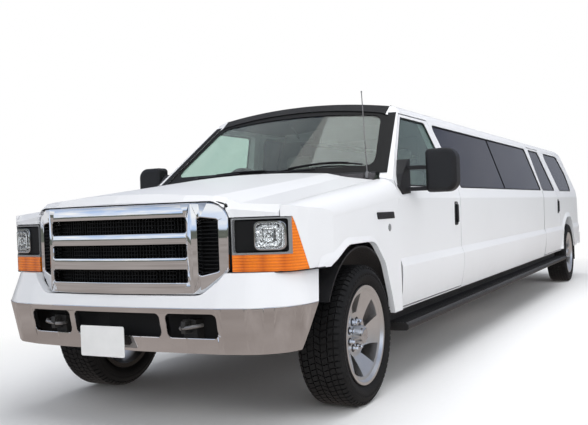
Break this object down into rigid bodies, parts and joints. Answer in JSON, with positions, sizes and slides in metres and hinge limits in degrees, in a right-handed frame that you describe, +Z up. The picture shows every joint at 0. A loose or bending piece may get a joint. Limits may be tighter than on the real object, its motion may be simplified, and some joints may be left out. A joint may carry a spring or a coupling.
{
  "type": "stretch limousine",
  "caption": "Long stretch limousine on a ladder frame with a raised hood, slotted bright grille, tinted side glass, running boards, side doors, split tail doors and spoked wheels.",
  "frame": {"origin": "centre of the bounding box in plan, on the ground under the tyres", "axes": "+X forward along the length, +Y to the left side of the car, +Z up"},
  "size_m": [9.69, 2.596, 1.925],
  "materials": {
    "white_paint": "gloss white paint",
    "vinyl_roof": "grained dark vinyl",
    "clear_glass": "lightly tinted glass",
    "dark_glass": "dark privacy glass",
    "floor_metal": "dark underbody coating",
    "chrome": "bright plated",
    "black_plastic": "grained black",
    "lamp_bezel": "satin grey",
    "lamp_lens": "clear lens",
    "amber_lens": "amber lens",
    "red_lens": "red lens",
    "frame_steel": "black frame coating",
    "cast_engine": "as cast",
    "tank_steel": "dull steel",
    "dash_plastic": "soft grain",
    "seat_leather": "grey hide",
    "partition_trim": "trimmed panel",
    "rim_alloy": "polished alloy",
    "tyre_rubber": "black rubber"
  },
  "bodies": {
    "body": {"bulkhead": "floor_metal", "bumper_beam": "chrome", "bumper_cover": "white_paint", "cross_members": "frame_steel", "dashboard": "dash_plastic", "drive_shaft": "frame_steel", "engine": "cast_engine", "exhaust": "tank_steel", "fender_left": "white_paint", "fender_right": "white_paint", "floor_pan": "floor_metal", "frame_rails": "frame_steel", "front_axle": "frame_steel", "front_seats": "seat_leather", "fuel_tank": "tank_steel", "grille": "chrome", "grille_mesh": "black_plastic", "headlamp_housings": "lamp_bezel", "headlamp_lenses": "lamp_lens", "lounge_seats": "seat_leather", "partition": "partition_trim", "radiator": "black_plastic", "rear_axle": "frame_steel", "rear_bumper": "white_paint", "roof_top": "vinyl_roof", "running_boards": "black_plastic", "side_glass": "dark_glass", "side_left": "white_paint", "side_right": "white_paint", "steering_wheel": "dash_plastic", "tail_lamps": "red_lens", "turn_lamps": "amber_lens", "wheel_liners": "black_plastic", "windshield": "clear_glass"},
    "knuckle_left": {"knuckle_left": "frame_steel"},
    "door_front_left": {"door_front_left": "white_paint", "glass_front_left": "clear_glass", "mirror_left": "black_plastic"},
    "door_rear_left": {"door_rear_left": "white_paint", "glass_rear_left": "dark_glass"},
    "cargo_door_left": {"cargo_door_left": "white_paint"},
    "wheel_front_left": {"tyre_front_left": "tyre_rubber", "rim_front_left": "rim_alloy"},
    "wheel_rear_left": {"tyre_rear_left": "tyre_rubber", "rim_rear_left": "rim_alloy"},
    "knuckle_right": {"knuckle_right": "frame_steel"},
    "door_front_right": {"door_front_right": "white_paint", "glass_front_right": "clear_glass", "mirror_right": "black_plastic"},
    "door_rear_right": {"door_rear_right": "white_paint", "glass_rear_right": "dark_glass"},
    "cargo_door_right": {"cargo_door_right": "white_paint"},
    "wheel_front_right": {"tyre_front_right": "tyre_rubber", "rim_front_right": "rim_alloy"},
    "wheel_rear_right": {"tyre_rear_right": "tyre_rubber", "rim_rear_right": "rim_alloy"},
    "hood": {"hood": "white_paint"},
    "lift_window": {"lift_glass": "dark_glass"}
  },
  "joints": [
    {"name": "steer_left", "type": "hinge", "parent": "body", "child": "knuckle_left", "pos_m": [3.84, 0.745, 0.401], "axis": [0, 0, 1], "range_deg": [-32, 32]},
    {"name": "wheel_front_left_spin", "type": "hinge", "parent": "knuckle_left", "child": "wheel_front_left", "pos_m": [3.84, 0.868, 0.401], "axis": [0, 1, 0], "continuous": true},
    {"name": "wheel_rear_left_spin", "type": "hinge", "parent": "body", "child": "wheel_rear_left", "pos_m": [-3.66, 0.868, 0.401], "axis": [0, 1, 0], "continuous": true},
    {"name": "door_front_left_hinge", "type": "hinge", "parent": "body", "child": "door_front_left", "pos_m": [3.285, 0.945, 0.9], "axis": [0, 0, -1], "range_deg": [0, 65]},
    {"name": "door_rear_left_hinge", "type": "hinge", "parent": "body", "child": "door_rear_left", "pos_m": [-1.805, 0.945, 0.9], "axis": [0, 0, -1], "range_deg": [0, 65]},
    {"name": "cargo_door_left_hinge", "type": "hinge", "parent": "body", "child": "cargo_door_left", "pos_m": [-4.725, 0.8895, 0.95], "axis": [0, 0, -1], "range_deg": [0, 90]},
    {"name": "steer_right", "type": "hinge", "parent": "body", "child": "knuckle_right", "pos_m": [3.84, -0.745, 0.401], "axis": [0, 0, 1], "range_deg": [-32, 32]},
    {"name": "wheel_front_right_spin", "type": "hinge", "parent": "knuckle_right", "child": "wheel_front_right", "pos_m": [3.84, -0.868, 0.401], "axis": [0, 1, 0], "continuous": true},
    {"name": "wheel_rear_right_spin", "type": "hinge", "parent": "body", "child": "wheel_rear_right", "pos_m": [-3.66, -0.868, 0.401], "axis": [0, 1, 0], "continuous": true},
    {"name": "door_front_right_hinge", "type": "hinge", "parent": "body", "child": "door_front_right", "pos_m": [3.285, -0.945, 0.9], "axis": [0, 0, 1], "range_deg": [0, 65]},
    {"name": "door_rear_right_hinge", "type": "hinge", "parent": "body", "child": "door_rear_right", "pos_m": [-1.805, -0.945, 0.9], "axis": [0, 0, 1], "range_deg": [0, 65]},
    {"name": "cargo_door_right_hinge", "type": "hinge", "parent": "body", "child": "cargo_door_right", "pos_m": [-4.725, -0.8895, 0.95], "axis": [0, 0, 1], "range_deg": [0, 90]},
    {"name": "hood_hinge", "type": "hinge", "parent": "body", "child": "hood", "pos_m": [3.24, 0, 1.34], "axis": [0, -1, 0], "range_deg": [0, 50]},
    {"name": "lift_window_hinge", "type": "hinge", "parent": "body", "child": "lift_window", "pos_m": [-4.517, 0, 1.8465], "axis": [0, 1, 0], "range_deg": [0, 85]}
  ],
  "couplings": [
    {"joint": "steer_right", "follows": "steer_left", "ratio": 1}
  ]
}
